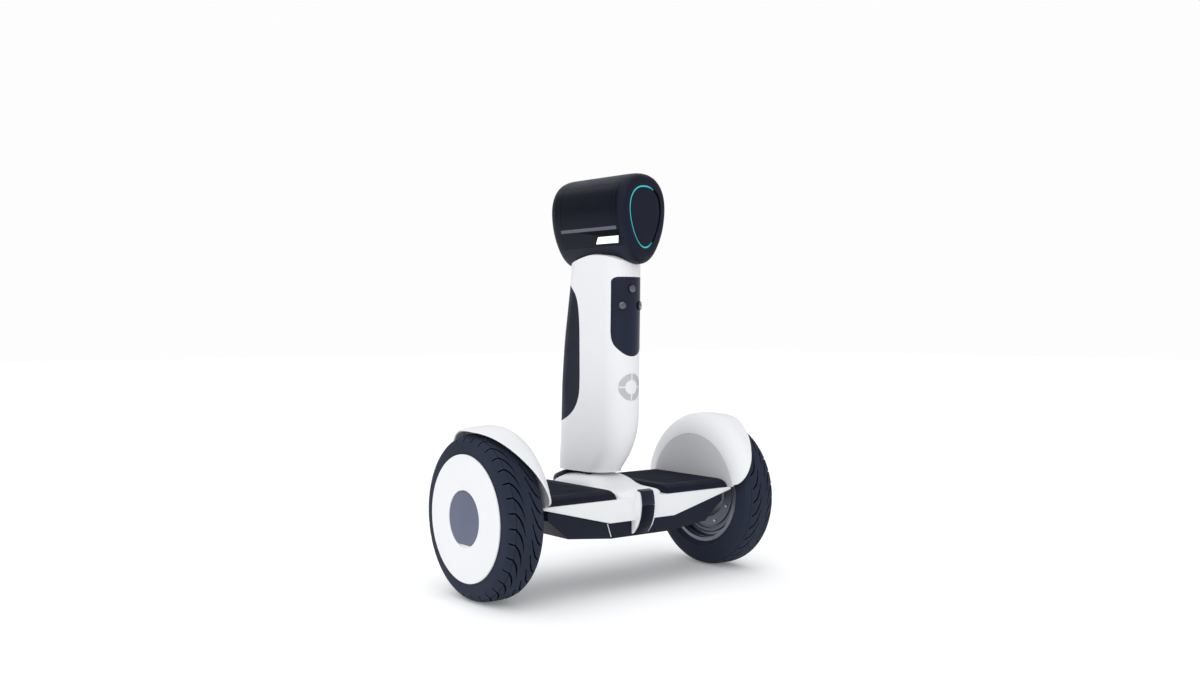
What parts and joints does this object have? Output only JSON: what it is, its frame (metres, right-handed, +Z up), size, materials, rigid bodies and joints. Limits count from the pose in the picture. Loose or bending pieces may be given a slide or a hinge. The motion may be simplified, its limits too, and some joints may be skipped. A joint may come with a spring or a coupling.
{
  "type": "two-wheeled self-balancing robot",
  "caption": "Self-balancing two-wheeled robot base with footpads, fenders and hub-motor wheels, a leaning column and a turning, nodding head.",
  "frame": {"origin": "on the ground, midway between the two wheels, below the middle of the axle", "axes": "+X along the axle towards the robot's left wheel, -Y to the robot's front, +Z up"},
  "size_m": [0.5634, 0.262, 0.6828],
  "materials": {
    "white_shell": "satin white moulded plastic",
    "fender_panel": "light grey moulded plastic",
    "black_plastic": "fine textured blue-black plastic",
    "gloss_black": "glossy black panel",
    "pad_rubber": "matt black rubber with ribs",
    "tyre_rubber": "dark tread rubber",
    "aluminium": "satin",
    "steel": "machined",
    "slate_badge": "slate grey metallic paint",
    "circuit_board": "solder-mask green",
    "battery_wrap": "blue shrink wrap",
    "teal_light": "lit teal light guide",
    "rear_lamp": "red lens"
  },
  "bodies": {
    "base": {"chassis_frame": "aluminium", "bottom_tray": "black_plastic", "top_cover": "white_shell", "front_lens_upper": "gloss_black", "front_lens_lower": "gloss_black", "rear_light": "rear_lamp", "footpad_left": "pad_rubber", "footpad_right": "pad_rubber", "foot_sensor_left": "aluminium", "foot_sensor_right": "aluminium", "battery_pack": "battery_wrap", "control_board": "circuit_board", "axle_left": "steel", "axle_right": "steel", "stator_left": "steel", "stator_right": "steel", "axle_clamp_left": "aluminium", "axle_clamp_right": "aluminium", "fender_left": "white_shell", "fender_right": "white_shell", "fender_panel_left": "fender_panel", "fender_panel_right": "fender_panel", "pivot_housing": "black_plastic", "pivot_shaft": "steel", "charge_socket": "black_plastic"},
    "column": {"column_shell": "white_shell", "back_panel": "black_plastic", "sensor_window": "gloss_black", "camera_lens_centre": "gloss_black", "camera_lens_left": "gloss_black", "camera_lens_right": "gloss_black", "speaker_grille": "fender_panel", "speaker_driver": "black_plastic", "column_board": "circuit_board", "steering_post": "aluminium", "yaw_motor": "steel"},
    "neck": {"neck_yoke": "aluminium"},
    "head": {"head_shell": "black_plastic", "face_panel": "gloss_black", "ear_cap_left": "black_plastic", "ear_cap_right": "black_plastic", "light_ring_left": "teal_light", "light_ring_right": "teal_light", "pitch_pin": "steel", "head_board": "circuit_board"},
    "power_button": {"power_button": "black_plastic"},
    "charge_cover": {"charge_cover": "pad_rubber"},
    "wheel_left": {"tyre_left": "tyre_rubber", "rim_left": "aluminium", "motor_cover_left": "fender_panel", "wheel_bearing_left": "steel", "wheel_cap_left": "white_shell", "hub_badge_left": "slate_badge"},
    "wheel_right": {"tyre_right": "tyre_rubber", "rim_right": "aluminium", "motor_cover_right": "fender_panel", "wheel_bearing_right": "steel", "wheel_cap_right": "white_shell", "hub_badge_right": "slate_badge"}
  },
  "joints": [
    {"name": "wheel_left_spin", "type": "hinge", "parent": "base", "child": "wheel_left", "pos_m": [0.2448, 0, 0.131], "axis": [1, 0, 0], "continuous": true},
    {"name": "wheel_right_spin", "type": "hinge", "parent": "base", "child": "wheel_right", "pos_m": [-0.2448, 0, 0.131], "axis": [1, 0, 0], "continuous": true},
    {"name": "column_lean", "type": "hinge", "parent": "base", "child": "column", "pos_m": [0, 0.05, 0.14], "axis": [0, 1, 0], "range_deg": [-10, 10], "stiffness_Nm_per_rad": 120},
    {"name": "head_yaw", "type": "hinge", "parent": "column", "child": "neck", "pos_m": [0, -0.0025, 0.5085], "axis": [0, 0, 1], "range_deg": [-60, 240]},
    {"name": "head_pitch", "type": "hinge", "parent": "neck", "child": "head", "pos_m": [0, -0.0025, 0.6076], "axis": [-0.061, 0.9981, 0], "range_deg": [0, 12]},
    {"name": "power_button_press", "type": "slide", "parent": "base", "child": "power_button", "axis": [0, -1, 0], "range_m": [0, 0.0015], "stiffness_N_per_m": 600, "springref_m": -0.001},
    {"name": "charge_cover_open", "type": "hinge", "parent": "base", "child": "charge_cover", "pos_m": [-0.044, 0.1012, 0.1215], "axis": [-1, 0, 0], "range_deg": [0, 110]}
  ]
}
